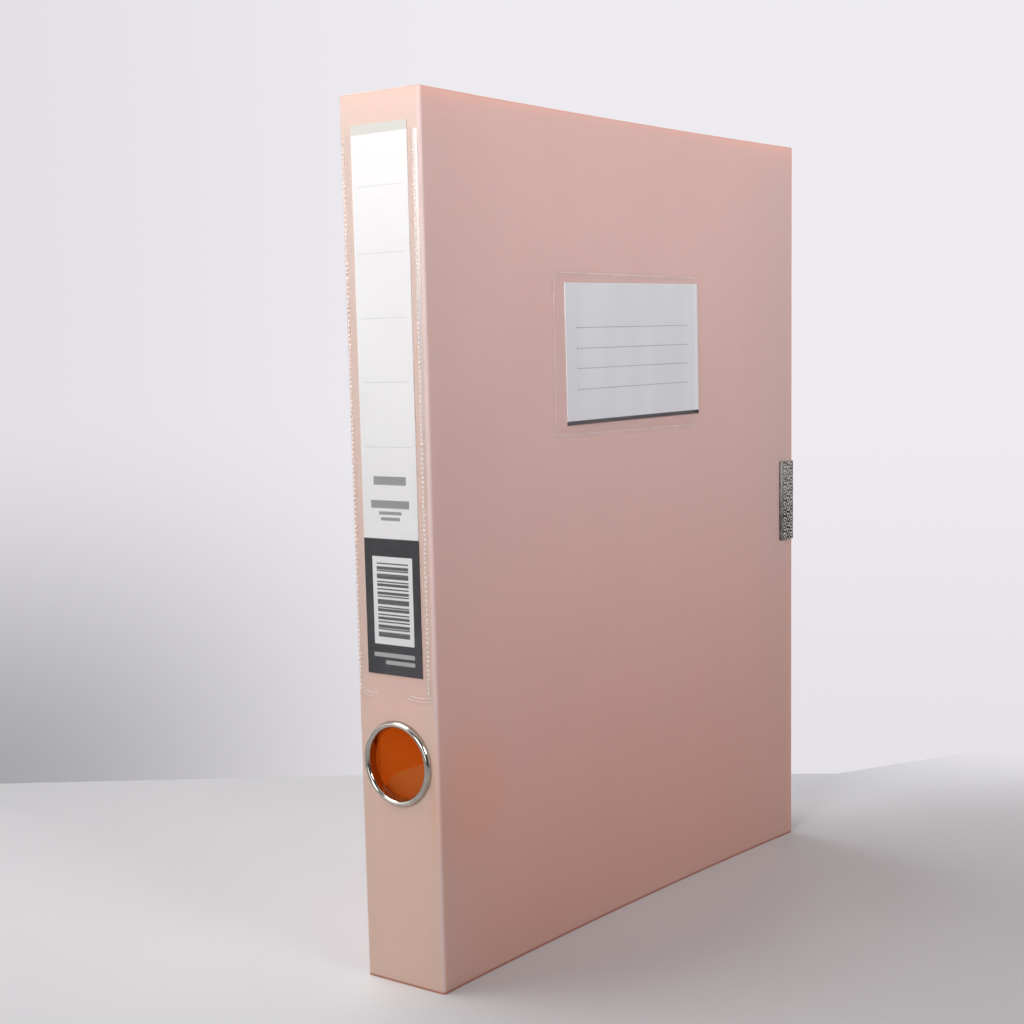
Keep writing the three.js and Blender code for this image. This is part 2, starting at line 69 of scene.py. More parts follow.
# Table, background and studio light
# A pale matt table top with a far edge, a plain pale wall a long way behind it, and five soft
# lamps. The nearest hangs high at the back left, so the light falls off down the box. Metal and
# film also mirror a bright screen at the back left and the dark room behind the camera.
class Wire:
    """An output of a node in a material. Sums written on it add Math nodes."""

    def __init__(self, tree, socket=None):
        self.tree = tree
        self.socket = socket

    def node(self, kind, settings=None, sockets=None, out=0):
        """Adds any other node: its settings first, then its sockets' values or links."""
        made = self.tree.nodes.new("ShaderNode" + kind)
        for name, value in (settings or {}).items():
            setattr(made, name, value)
        for key, value in (sockets or {}).items():
            if isinstance(value, Wire):
                self.tree.links.new(value.socket, made.inputs[key])
            else:
                made.inputs[key].default_value = value
        return Wire(self.tree, made.outputs[out] if len(made.outputs) else None)

    def sum(self, operation, *terms):
        return self.node("Math", {"operation": operation}, dict(enumerate(terms)))

    def __add__(self, other):
        return self.sum("ADD", self, other)

    def __sub__(self, other):
        return self.sum("SUBTRACT", self, other)

    def __rsub__(self, other):
        return self.sum("SUBTRACT", other, self)

    def __mul__(self, other):
        return self.sum("MULTIPLY", self, other)

    def __truediv__(self, other):
        return self.sum("DIVIDE", self, other)

    def __gt__(self, other):
        return self.sum("GREATER_THAN", self, other)

    def __lt__(self, other):
        return self.sum("LESS_THAN", self, other)

    __radd__ = __add__
    __rmul__ = __mul__

    def most(self, other):
        return self.sum("MAXIMUM", self, other)

    def rise(self, low, high):
        """0 below low, 1 above high, and a smooth rise between them."""
        limits = {0: self, 1: low, 2: high}
        return self.node("MapRange", {"interpolation_type": "SMOOTHSTEP"}, limits)

    def between(self, low, high, soft):
        """1 between low and high, 0 outside them, with edges that wide."""
        return self.rise(low - soft, low) * (1 - self.rise(high, high + soft))

    def colour(self, low, high):
        """The colour low where this is 0, high where it is 1."""
        return self.node("Mix", {"data_type": "RGBA"}, {0: self, 6: low, 7: high}, out=2)

    def axes(self):
        split = self.node("SeparateXYZ", None, {0: self})
        outputs = split.socket.node.outputs
        return [Wire(self.tree, outputs[i]) for i in range(3)]

    def noise(self, scale, detail=2.0, roughness=0.5, stretch=(1, 1, 1)):
        where = self.node("Mapping", None, {"Vector": self, "Scale": stretch})
        values = {"Vector": where, "Scale": scale, "Detail": detail, "Roughness": roughness}
        return self.node("TexNoise", None, values)

    def bump(self, strength, distance):
        values = {"Strength": strength, "Distance": distance, "Height": self}
        return self.node("Bump", None, values)


def new_material(name):
    """A material with no nodes, and the place on the object in metres to start them from."""
    made = bpy.data.materials.new(name)
    made.use_nodes = True
    made.node_tree.nodes.clear()
    return made, Wire(made.node_tree).node("TexCoord", out="Object")


def close_material(shader):
    shader.node("OutputMaterial", None, {"Surface": shader})


def grey(value):
    return (value, value, value, 1)


EDGE_BEND = (0.2329, 0.0156)
EDGE_OUTWARD = (0.414, 0.910)
table_corners = [(-1.6, 2.4), (-0.0264, 0.3755), (0.0858, 0.2345), EDGE_BEND]
table_corners += [(0.3487, -0.0370), (1.5, -0.42), (1.5, -2.5), (-2.6, -2.5), (-2.6, 2.4)]
table_mesh = bpy.data.meshes.new("table")
table_mesh.from_pydata([(x, y, 0.0) for x, y in table_corners], [], [range(len(table_corners))])
table = bpy.data.objects.new("table", table_mesh)
bpy.context.scene.collection.objects.link(table)

table_paint, place = new_material("table_paint")
mottle = place.noise(9, 3).rise(0.3, 0.7)
top_coat = mottle.node("BsdfPrincipled", None, {
    "Base Color": mottle.colour((0.80, 0.790, 0.808, 1), (0.82, 0.810, 0.828, 1)),
    "Roughness": 0.55,
    "Specular IOR Level": 0.25,
})
across, deep, _ = place.axes()
past_edge = (across - EDGE_BEND[0]) * EDGE_OUTWARD[0] + (deep - EDGE_BEND[1]) * EDGE_OUTWARD[1]
fade = past_edge.rise(-0.17, -0.02) * across.rise(0.18, 0.34)
nothing = mottle.node("BsdfTransparent")
close_material(mottle.node("MixShader", None, {0: fade, 1: top_coat, 2: nothing}))
table_mesh.materials.append(table_paint)

world = bpy.data.worlds.new("studio")
world.use_nodes = True
world.node_tree.nodes.clear()
bpy.context.scene.world = world
sky = Wire(world.node_tree)
camera_ray = sky.node("LightPath", out="Is Camera Ray")
ray_outputs = camera_ray.socket.node.outputs
glossy_ray = Wire(world.node_tree, ray_outputs["Is Glossy Ray"])
clear_ray = Wire(world.node_tree, ray_outputs["Is Transmission Ray"])
seen = camera_ray.most(glossy_ray).most(clear_ray)
light = sky.node("Background", None, {"Color": (0.95, 0.97, 1.0, 1), "Strength": 0.060})
direction = sky.node("TexCoord", out="Generated")
TO_LEFT = (-0.6087, 0.7931, 0.0198)
TO_SCREEN = (-0.784, 0.605, 0.138)
TO_ROOM = (-0.784, -0.605, 0.138)


def toward(way):
    """How nearly a ray heads that way: 1 straight along it, 0 across it."""
    return direction.node("VectorMath", {"operation": "DOT_PRODUCT"}, {0: direction, 1: way},
                          out="Value")


rising = direction.axes()[2]
low = 1 - rising.rise(-0.24, -0.02)
shade = toward(TO_LEFT).rise(0.02, 0.33) * (low * 0.38 + 0.10) + low * 0.08
wall_colour = shade.colour((0.85, 0.83, 0.875, 1), grey(0.0))
screen = toward(TO_SCREEN).rise(0.88, 0.95) * rising.rise(0.0, 0.10) * glossy_ray
wall_colour = screen.colour(wall_colour, (1.9, 1.82, 1.74, 1))
room = toward(TO_ROOM).rise(0.35, 0.65) * glossy_ray
wall_colour = (room * 0.93).colour(wall_colour, grey(0.0))
wall = sky.node("Background", None, {"Color": wall_colour, "Strength": 1.0})
both = sky.node("MixShader", None, {0: seen, 1: light, 2: wall})
both.node("OutputWorld", None, {"Surface": both})


def soft_lamp(name, place, aim, size, watts, spread):
    """A square lamp at place that shines towards aim, its spread in degrees."""
    data = bpy.data.lights.new(name, "AREA")
    data.shape = "SQUARE"
    data.size = size
    data.energy = watts
    data.spread = math.radians(spread)
    lamp = bpy.data.objects.new(name, data)
    direction = Vector(aim) - Vector(place)
    lamp.rotation_euler = direction.to_track_quat("-Z", "Y").to_euler()
    lamp.location = place
    bpy.context.scene.collection.objects.link(lamp)


soft_lamp("back_left_lamp", (-0.42, 0.32, 0.72), (-0.05, -0.02, 0.26), 0.45, 0.84, 130)
soft_lamp("left_lamp", (-1.1, -0.45, 0.42), (-0.10, -0.02, 0.27), 0.7, 0.66, 90)
soft_lamp("high_back_lamp", (0.0, 0.5, 1.2), (0.0, 0.1, 0.1), 0.8, 3.30, 120)
soft_lamp("cover_lamp", (-0.15, -1.0, 0.80), (0.0, 0.0, 0.46), 0.5, 0.83, 50)
soft_lamp("spine_lamp", (-1.0, -0.15, 0.70), (-0.12, 0.0, 0.46), 0.5, 1.03, 50)


# Plastic sheet
# The box is creased from one sheet of polypropylene, 1 mm thick and 308 mm high. It is pink and
# matt outside and lets some light through. Its inner faces are deep orange: partly the sheet's own
# colour, partly painted light for light that has passed through the sheet. The front crease is
# painted paler, partly stress whitening and partly a painted highlight.
MM = 0.001
SHEET = 1.0 * MM
HEIGHT = 308 * MM
HALF_WIDTH = 123 * MM
HALF_DEPTH = 18 * MM
CREASE_RADIUS = 1.3 * MM
HINGE_X = -HALF_WIDTH + CREASE_RADIUS
HINGE_Y = HALF_DEPTH - CREASE_RADIUS
COVER_SPAN = HALF_WIDTH - HINGE_X
COVER_BOW = 2.9 * MM
CUT_EDGE = 0.13 * MM
COVER_BACK = -13.5 * MM
FLANGE_EDGE = 98.9 * MM
FLANGE_MIDDLE = -14.62 * MM
FREE_TAB_TOP = 85 * MM
# Centre and radius of a painted glow on the cover.
PAINTED_GLOW_CENTRE = (-107 * MM, 67 * MM)
PAINTED_GLOW_RADIUS = 30 * MM

sheet_plastic, place = new_material("sheet_plastic")
across, deep, up = place.axes()
share = (across - HINGE_X) / COVER_SPAN
cover_line = share * (1 - share) * (4 * COVER_BOW) - HALF_DEPTH
half_sheet = SHEET / 2
within = (across > -HALF_WIDTH + half_sheet) * (across < HALF_WIDTH - half_sheet)
within = within * (deep < HALF_DEPTH - half_sheet) * (deep > cover_line + half_sheet)
within = within * (up > half_sheet) * (up < HEIGHT - half_sheet)
flange = (across > FLANGE_EDGE) * (deep > cover_line + 1.3 * SHEET) * (deep < FLANGE_MIDDLE)
within = within * (1 - flange)
within = within.most(place.node("Attribute", {"attribute_name": "inner_face"}, None, out="Fac"))
of_cover = deep < cover_line + 1.05 * SHEET
of_spine = across < 1.05 * SHEET - HALF_WIDTH
cut_edge = (up < CUT_EDGE).most(up > HEIGHT - CUT_EDGE) * of_cover.most(of_spine)
cut_edge = cut_edge.most((across > HALF_WIDTH - CUT_EDGE) * of_cover)
cloud = place.noise(22, 3, 0.55)
grain = place.noise(2600, 2, 0.6)
streak = place.noise(60, 2, 0.5, (1, 1, 0.12))
tint = (cloud * 0.6 + streak * 0.4).rise(0.3, 0.7)
skin = tint.colour((0.88, 0.73, 0.685, 1), (0.91, 0.76, 0.715, 1))
# Painted shade: the outer face is painted darker and more saturated towards the bottom, where less
# light and sheen reach it.
painted_shade_low = 1 - up.rise(10 * MM, 200 * MM)
skin = (painted_shade_low * 0.70).colour(skin, (0.87, 0.61, 0.50, 1))
# Painted light and sheen: the spine's outer face is painted lighter and yellower than the cover.
painted_light_spine = 1 - across.rise(-122.9 * MM, -122.3 * MM)
skin = (painted_light_spine * 0.3).colour(skin, (0.87, 0.79, 0.60, 1))
# The front crease is painted paler and mauve-grey: partly stress whitening of the fold, partly a
# painted highlight where the rounded crease catches the light.
fold = (1 - across.rise(-122.6 * MM, -121.4 * MM)) * (1 - deep.rise(-17.4 * MM, -16.6 * MM))
skin = (fold * 0.45).colour(skin, (0.86, 0.78, 0.82, 1))
in_front = 1 - deep.rise(COVER_BACK - 0.5 * MM, COVER_BACK)
# Painted glow: a band along the cover's fore-edge and top is painted lighter and more orange, for
# light coming through the sheet there.
painted_edge_glow = across.rise(119.6 * MM, 120.6 * MM).most(up.rise(304.6 * MM, 305.6 * MM)) * in_front
skin = (painted_edge_glow * 0.4).colour(skin, (0.95, 0.74, 0.66, 1))
# Painted glow: a warm orange patch on the cover near the crease, for light shining through the sheet
# there.
spot_x, spot_z = across - PAINTED_GLOW_CENTRE[0], up - PAINTED_GLOW_CENTRE[1]
spot = (spot_x * spot_x + spot_z * spot_z) / (PAINTED_GLOW_RADIUS * PAINTED_GLOW_RADIUS)
spot = (1 - spot.rise(0.0, 1.0)) * in_front
skin = (spot * 0.45).colour(skin, (0.95, 0.58, 0.42, 1))
# Painted shade: a thin dark red-brown line along the foot of the sheet, where it meets the table.
foot = 1 - up.rise(0.4 * MM, 1.1 * MM)
skin = (foot * 0.8).colour(skin, (0.48, 0.13, 0.07, 1))
free_edge = across.rise(122.3 * MM, 122.7 * MM) * in_front
skin = (free_edge * 0.55).colour(skin, (0.72, 0.26, 0.22, 1))
head = up.rise(307.2 * MM, 307.7 * MM)
skin = (head * 0.3).colour(skin, (0.80, 0.50, 0.44, 1))
# Orange of the sheet's body, on cut edges and inner faces. Its deep saturation on the inner faces is
# painted light: the tint of light that has passed through the sheet.
core_and_through_light = tint.colour((0.97, 0.42, 0.06, 1), (0.98, 0.45, 0.07, 1))
# Painted shade: the tab just inside the spine is painted dark red, for the light that two layers of
# sheet hold back.
painted_tab_shade = across.between(-121.9 * MM, -114 * MM, 0.05 * MM)
painted_tab_shade = painted_tab_shade * (1 - up.rise(FREE_TAB_TOP, FREE_TAB_TOP + 1 * MM))
core_and_through_light = (painted_tab_shade * 0.8).colour(core_and_through_light, (0.48, 0.12, 0.008, 1))
face = grain.node("BsdfPrincipled", None, {
    "Base Color": within.most(cut_edge * 0.3).colour(skin, core_and_through_light),
    "Roughness": cloud * 0.12 + 0.42,
    "Specular IOR Level": 0.45,
    "Normal": grain.bump(0.22, 0.00006),
})
glow = grain.node("BsdfTranslucent", None, {"Color": (0.97, 0.47, 0.12, 1)})
close_material(grain.node("MixShader", None, {0: within * 0.2 + 0.3, 1: face, 2: glow}))


def closed_sheet(name, outer, inner, faces, material, smooth_below=40):
    """A closed sheet: two matching sets of points and a wall along every free edge."""
    faces = np.asarray(faces)
    count = len(outer)
    sides = np.stack([faces, np.roll(faces, -1, axis=1)], axis=-1).reshape(-1, 2)
    _, where, times = np.unique(np.sort(sides, axis=1), axis=0, return_index=True,
                                return_counts=True)
    free = sides[where[times == 1]]
    walls = np.stack([free[:, 1], free[:, 0], free[:, 0] + count, free[:, 1] + count], axis=1)
    every = np.concatenate([faces, faces[:, ::-1] + count, walls])
    points = np.concatenate([outer, inner])
    return finish_mesh(name, points.tolist(), every.tolist(), material, smooth_below)


def finish_mesh(name, points, faces, material, smooth_below=40):
    mesh = bpy.data.meshes.new(name)
    mesh.from_pydata(points, [], faces)
    shape = bmesh.new()
    shape.from_mesh(mesh)
    bmesh.ops.recalc_face_normals(shape, faces=shape.faces)
    shape.to_mesh(mesh)
    shape.free()
    mesh.shade_smooth()
    mesh.set_sharp_from_angle(angle=math.radians(smooth_below))
    mesh.materials.append(material)
    piece = bpy.data.objects.new(name, mesh)
    bpy.context.scene.collection.objects.link(piece)
    return piece


def grid_faces(rows, columns):
    index = np.arange(rows * columns).reshape(rows, columns)
    corners = [index[:-1, :-1], index[1:, :-1], index[1:, 1:], index[:-1, 1:]]
    return np.stack(corners, axis=-1).reshape(-1, 4)


def soften(piece, width, keep=None):
    """Rounds the piece's sharp edges. keep says which, from the middle of an edge."""
    modifier = piece.modifiers.new("soft_edges", "BEVEL")
    modifier.width = width
    modifier.segments = 2
    modifier.limit_method = "ANGLE"
    modifier.angle_limit = math.radians(40)
    if keep:
        shape = bmesh.new()
        shape.from_mesh(piece.data)
        weights = shape.edges.layers.float.new("bevel_weight_edge")
        for edge in shape.edges:
            middle = (edge.verts[0].co + edge.verts[1].co) / 2
            bent = edge.calc_face_angle(0) > math.radians(40)
            edge[weights] = 1.0 if bent and keep(middle) else 0.0
        shape.to_mesh(piece.data)
        shape.free()
        modifier.limit_method = "WEIGHT"
    even = piece.modifiers.new("even_shading", "WEIGHTED_NORMAL")
    even.keep_sharp = True


# Tray
# Back panel, fore-edge wall with its flange, and the end walls with their tabs, all folded from
# the sheet. The CAD solid has the right shape, so it only gets soft edges and the plastic.
def dress(node, material, width=0.12 * MM):
    """Gives a CAD solid its material and, unless width is 0, edges rounded by that much."""
    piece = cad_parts[node]
    piece.data.materials.clear()
    piece.data.materials.append(material)
    weld = piece.modifiers.new("joined_points", "WELD")
    weld.merge_threshold = 0.000002
    if width:
        soften(piece, width)
    return piece


dress("tray", sheet_plastic)


# Spine panel
# The narrow side between the two creases, cut from the same sheet, with the finger hole punched
# through it. The creases beside it are pieces of their own.
HOLE_RADIUS = 13.5 * MM
HOLE_HEIGHT = 80.3 * MM
PLATE_HALF = 15.1 * MM


def spine_plate_outline():
    """Flat points (y, z) and faces: a square collar round the hole, and the panels beyond it."""
    turns, rings, rows = 96, 7, 16
    side = turns // 4
    points, faces = [], []
    for ring in range(rings):
        share = (ring / (rings - 1)) ** 1.6
        for turn in range(turns):
            angle = 2 * math.pi * turn / turns + math.pi / 4
            along = (math.cos(angle), math.sin(angle))
            reach = PLATE_HALF / max(abs(along[0]), abs(along[1]))
            radius = HOLE_RADIUS + (reach - HOLE_RADIUS) * share
            points.append((radius * along[0], HOLE_HEIGHT + radius * along[1]))
    for ring in range(rings - 1):
        for turn in range(turns):
            after = (turn + 1) % turns
            low = ring * turns
            faces.append((low + turn, low + after, low + turns + after, low + turns + turn))
    border = points[(rings - 1) * turns:]
    for edge, end in ((border[:side + 1], HEIGHT), (border[2 * side:3 * side + 1], 0.0)):
        start = len(points)
        for row in range(rows):
            share = row / (rows - 1)
            points += [(y, z + (end - z) * share) for y, z in edge]
        faces += (grid_faces(rows, side + 1) + start).tolist()
    return np.array(points), np.array(faces)


def merged(points, faces):
    """Points that lie in one place become one, and the faces follow."""
    rounded = np.round(points, 8)
    _, first, back_to = np.unique(rounded, axis=0, return_index=True, return_inverse=True)
    return points[first], back_to.reshape(-1)[faces]


plate_points, plate_faces = merged(*spine_plate_outline())
plate_outer = np.insert(plate_points, 0, -HALF_WIDTH, axis=1)
plate_inner = np.insert(plate_points, 0, -HALF_WIDTH + SHEET, axis=1)
spine_plate = closed_sheet("spine_plate", plate_outer, plate_inner, plate_faces, sheet_plastic)
soften(spine_plate, 0.1 * MM, keep=lambda at: abs(at.y) < PLATE_HALF - 0.01 * MM)
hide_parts("spine_panel")
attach(spine_plate, "spine")


# Front cover
# The large panel in front. It hangs on the spine by a crease and dips in towards its middle,
# as the sheet keeps some of its curl. Its free corners are hardly rounded.
COVER_START = -120.9 * MM
COVER_CORNER = 0.45 * MM


def cover_y(x, z):
    """The outer face of the cover: one long bow, and a faint waviness away from its edges."""
    share = (x - HINGE_X) / COVER_SPAN
    bow = -HALF_DEPTH + 4 * COVER_BOW * share * (1 - share)
    up = z / HEIGHT
    calm = np.clip(share * (1 - share) * up * (1 - up) * 16, 0, 1)
    wave = np.sin(5.3 * share + 7.1 * up + 0.6) * np.sin(3.9 * up - 2.2 * share + 1.1)
    return bow + 0.12 * MM * calm * wave


def stepped(low, high, edge, fine, coarse):
    """Places from low to high that are close together next to both ends."""
    near = np.linspace(0, edge, fine + 1)
    middle = np.linspace(low + edge, high - edge, coarse + 1)[1:-1]
    return np.concatenate([low + near, middle, high - near[::-1]])


cover_x = stepped(COVER_START, HALF_WIDTH, COVER_CORNER, 4, 110)
cover_z = stepped(0.0, HEIGHT, COVER_CORNER, 4, 120)
flat_x, flat_z = np.meshgrid(cover_x, cover_z, indexing="ij")
beyond_x = np.clip((flat_x - HALF_WIDTH) / COVER_CORNER + 1, 0, 1)
beyond_z = np.clip(abs(flat_z / HEIGHT - 0.5) * HEIGHT / COVER_CORNER
                   - (HEIGHT / 2 / COVER_CORNER - 1), 0, 1)
upward = np.sign(flat_z - HEIGHT / 2)
flat_x = flat_x - COVER_CORNER * beyond_x * (1 - np.sqrt(1 - beyond_z ** 2 / 2))
flat_z = flat_z - upward * COVER_CORNER * beyond_z * (1 - np.sqrt(1 - beyond_x ** 2 / 2))
flat_x, flat_z = flat_x.ravel(), flat_z.ravel()
cover_face = cover_y(flat_x, flat_z)
cover = closed_sheet(
    "cover_panel",
    np.stack([flat_x, cover_face, flat_z], axis=1),
    np.stack([flat_x, cover_face + SHEET, flat_z], axis=1),
    grid_faces(len(cover_x), len(cover_z)),
    sheet_plastic,
)
soften(cover, 0.12 * MM, keep=lambda at: at.x > COVER_START + 0.01 * MM)
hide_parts("front_cover")
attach(cover, "cover")


# Creases
# Two folds pressed in with heat, one on each side of the spine. Each is a rounded strip of the
# same sheet.
def crease(name, path):
    """path holds (x, y, outward x, outward y) along the outer face of the fold."""
    rows = 60
    path = np.array(path)
    across = np.repeat(path, rows, axis=0)
    height = np.tile(np.linspace(0, HEIGHT, rows), len(path))
    outer = np.stack([across[:, 0], across[:, 1], height], axis=1)
    inward = np.stack([across[:, 2], across[:, 3], np.zeros(len(height))], axis=1)
    piece = closed_sheet(name, outer, outer - SHEET * inward, grid_faces(len(path), rows),
                         sheet_plastic, 60)
    inner_face = piece.data.attributes.new("inner_face", "FLOAT", "POINT")
    inner_face.data.foreach_set("value", np.repeat([0, 1], len(outer)).astype(np.float32))
    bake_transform(piece)


def bend(centre_y, first, last):
    """Points on the outside of a fold, between two directions in degrees."""
    turn = [math.radians(a) for a in np.linspace(first, last, 15)]
    return [(HINGE_X + CREASE_RADIUS * math.cos(a), centre_y + CREASE_RADIUS * math.sin(a),
             math.cos(a), math.sin(a)) for a in turn]


BACK_START = -120.78 * MM
back_path = [(BACK_START, HALF_DEPTH, 0, 1)]
back_path += bend(HINGE_Y, 90, 180)
back_path += [(-HALF_WIDTH, y * MM, -1, 0) for y in (16.2, 15.65, 15.1)]
crease("back_crease", back_path)
front_path = [(-HALF_WIDTH, -y * MM, -1, 0) for y in (15.1, 15.65, 16.2)]
front_path += bend(-HINGE_Y, 180, 270)
front_path += [(x * MM, cover_y(x * MM, 0), 0.047, -0.999) for x in (-121.3, -120.9)]
crease("front_crease", front_path)


# Label card of the spine
# A slip of thin white card, printed with ruled lines, small grey bars, and a dark block that
# holds a pale panel of plain stripes. It stands 3 mm out of its pocket.
card_paint, place = new_material("spine_card_paint")
_, across, up = place.axes()
fibre = place.noise(1500, 3)
paper = place.noise(30, 2).rise(0.3, 0.7).colour((0.785, 0.78, 0.775, 1), (0.815, 0.81, 0.805, 1))


def bar(low_y, high_y, low_z, high_z, soft=0.12):
    """A printed rectangle, in millimetres."""
    return (across.between(low_y * MM, high_y * MM, soft * MM)
            * up.between(low_z * MM, high_z * MM, soft * MM))


line_heights = (277.4, 255.3, 233.75, 212.35, 190.45)
ruled = bar(-10.5, 10.5, line_heights[0] - 0.07, line_heights[0] + 0.07)
for z in line_heights[1:]:
    ruled = ruled + bar(-10.5, 10.5, z - 0.07, z + 0.07)
grey_bars = bar(-7.6, 7.1, 177.6, 180.4) + bar(-8.8, 8.6, 169.6, 172.2)
grey_bars = grey_bars + bar(-5.2, 5.0, 167.4, 168.4) + bar(-4.4, 4.2, 165.4, 166.4)
block = bar(-12.6, 12.6, 110.0, 159.0)
panel = bar(-9.3, 8.9, 122.3, 152.8)
wide = up.sum("FRACT", up / (2.9 * MM)).between(0.15, 0.45, 0.04)
fine = up.sum("FRACT", up / (1.27 * MM)).between(0.3, 0.6, 0.08)
stripes = wide.most(fine) * bar(-7.4, 7.0, 124.2, 150.8)
foot_bars = bar(-9.3, 9.3, 117.8, 119.2) + bar(-9.3, 4.0, 115.3, 116.6)
# Painted shade: the card above the film is painted greyer than the card under it.
painted_shade_above_film = up.rise(294.2 * MM, 294.6 * MM)
colour = (painted_shade_above_film * 0.75).colour(paper, (0.56, 0.53, 0.48, 1))
colour = ruled.colour(colour, grey(0.62))
colour = grey_bars.colour(colour, grey(0.30))
colour = block.colour(colour, (0.030, 0.030, 0.035, 1))
colour = panel.colour(colour, grey(0.78))
colour = (stripes * panel).colour(colour, grey(0.10))
colour = foot_bars.colour(colour, grey(0.42))


def close_card(colour, fibre, roughness):
    """Ends a card's material: its print, and a faint grain of paper fibres."""
    close_material(fibre.node("BsdfPrincipled", None, {
        "Base Color": colour,
        "Roughness": roughness,
        "Specular IOR Level": 0.35,
        "Normal": fibre.bump(0.2, 0.00004),
    }))


close_card(colour, fibre, 0.62)
dress("spine_label_card", card_paint, 0)


# Spine pocket
# A clear soft film, welded to the spine along both sides and at two places below, and open at
# the top. It stands proud over the card. The welds are rows of small pressed dots.
FILM = 0.2 * MM
FILM_RISE = 0.42 * MM
FILM_FLAT = 15.2 * MM
FILM_RAISED = 13.2 * MM
SEAT = 0.1 * MM
film_clear, place = new_material("film_clear")
ripple = place.noise(120, 2, 0.5, (1, 1, 0.25))
haze = place.noise(35, 3, 0.6).rise(0.4, 0.75)
gloss = place.node("BsdfPrincipled", None, {
    "Base Color": (0.93, 0.92, 0.93, 1),
    "Metallic": 0.75,
    "Roughness": 0.16,
    "Normal": ripple.bump(0.10, 0.0004),
})
through = place.node("BsdfTransparent", None, {"Color": (0.995, 0.992, 0.993, 1)})
across, deep, up = place.axes()
on_spine = 1 - across.rise(-122 * MM, -120 * MM)
# Painted highlight: the film beside the front crease is made whiter and glossier on the upper spine,
# for glare where it curves towards the fold.
painted_glare_margin = (1 - deep.rise(-16.6 * MM, -14.6 * MM)) * up.rise(140 * MM, 290 * MM) * on_spine
film_share = haze * 0.02 + 0.02 + painted_glare_margin * 0.5
close_material(place.node("MixShader", None, {0: film_share, 1: through, 2: gloss}))

half_film = np.array([4, 8, 12, 13.2, 13.9, 14.4, 14.9, 15.6, 16.3, 16.7, 16.9])
low_edge = np.array([102.6, 102.9, 103.6, 105, 107, 108.6, 109.6, 110.4, 111.2, 112.5])
spine_film_y = np.concatenate([-half_film[::-1], [0], half_film]) * MM
spine_film_z = np.concatenate([low_edge, np.linspace(115, 294.4, 90)]) * MM


def eased(value, low, high):
    """0 below low, 1 above high, and a smooth rise between them."""
    share = np.clip((value - low) / (high - low), 0, 1)
    return share * share * (3 - 2 * share)


film_y, film_z = np.meshgrid(spine_film_y, spine_film_z, indexing="ij")
raised = eased(-abs(film_y), -FILM_FLAT, -FILM_RAISED) * eased(film_z, 107 * MM, 111 * MM)
breath = 0.04 * MM * np.sin(film_z * 95) * np.sin(film_y * 160 + film_z * 40)
film_x = -HALF_WIDTH - SEAT - raised * (FILM_RISE + breath)
film_near = np.stack([film_x.ravel(), film_y.ravel(), film_z.ravel()], axis=1)
film_far = film_near - np.array([FILM, 0, 0])
spine_film = closed_sheet("spine_pocket", film_far, film_near,
                          grid_faces(*film_y.shape), film_clear, 50)
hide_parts("spine_pocket_film")
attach(spine_film, "spine")

weld_clear, place = new_material("weld_clear")
frost = place.noise(60, 2).rise(0.3, 0.7)
on_spine = 1 - place.axes()[0].rise(-122 * MM, -120 * MM)
pressed = place.node("BsdfPrincipled", None, {
    "Base Color": (1.0, 0.95, 0.91, 1),
    "Roughness": 0.25,
})
through = place.node("BsdfTransparent")
frosted = frost * 0.12 + 0.20 + on_spine * 0.28
close_material(place.node("MixShader", None, {0: frosted, 1: through, 2: pressed}))


def beads(name, spots, outward, body):
    """Small pressed dots: each spot is (centre, half its width as a vector, half its height)."""
    points, faces = [], []
    outward = Vector(outward)
    sides = 10
    ring = [math.radians(360 / sides * k) for k in range(sides)]
    for centre, one, other in spots:
        foot = len(points)
        shoulder = foot + sides
        top = shoulder + sides
        for size, lift in ((1.0, 0.0), (0.7, 0.07 * MM)):
            points += [tuple(centre + one * (size * math.cos(a)) + other * (size * math.sin(a))
                             + outward * lift) for a in ring]
        points.append(tuple(centre + outward * 0.12 * MM))
        points.append(tuple(centre - outward * 0.1 * MM))
        for i in range(sides):
            k = (i + 1) % sides
            faces += [(foot + i, foot + k, shoulder + k, shoulder + i),
                      (shoulder + i, shoulder + k, top),
                      (foot + k, foot + i, top + 1)]
    piece = finish_mesh(name, points, faces, weld_clear, 80)
    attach(piece, body)


film_out = -HALF_WIDTH - SEAT - FILM
DOT_PITCH = 1.6
DOT_WIDE = Vector((0, 0.5 * MM, 0))
DOT_HIGH = Vector((0, 0, 0.48 * MM))
DASH_PITCH = 1.3
DASH_WIDE = Vector((0, 0.42 * MM, 0.16 * MM))
DASH_HIGH = Vector((0, -0.08 * MM, 0.2 * MM))
spots = []
for k in range(118):
    z = (105.2 + DOT_PITCH * k) * MM
    outer_row = (16.3 + 0.2 * (294 * MM - z) / (190 * MM)) * MM
    for y in (-FILM_FLAT, outer_row):
        spots.append((Vector((film_out, y, z)), DOT_WIDE, DOT_HIGH))
for low_y, high_y, sag in ((8.6, 15.1, 1.0), (-16.3, -5.9, 0.7)):
    count = int((high_y - low_y) / DASH_PITCH) + 1
    for k in range(count):
        share = k / (count - 1)
        y = low_y + (high_y - low_y) * share
        lift = 3.84 * sag * (share - 0.5) ** 2
        for row in (103.4, 104.65):
            spots.append((Vector((film_out, y * MM, (row + lift) * MM)), DASH_WIDE, DASH_HIGH))
beads("spine_welds", spots, (-1, 0, 0), "spine")


# Card and pocket of the cover
# The same card and film, larger. The pocket is open towards the fore-edge, where the card shows
# beyond it, and the card sits a little askew.
cover_card_paint, place = new_material("cover_card_paint")
across, _, up = place.axes()
fibre = place.noise(1500, 3)
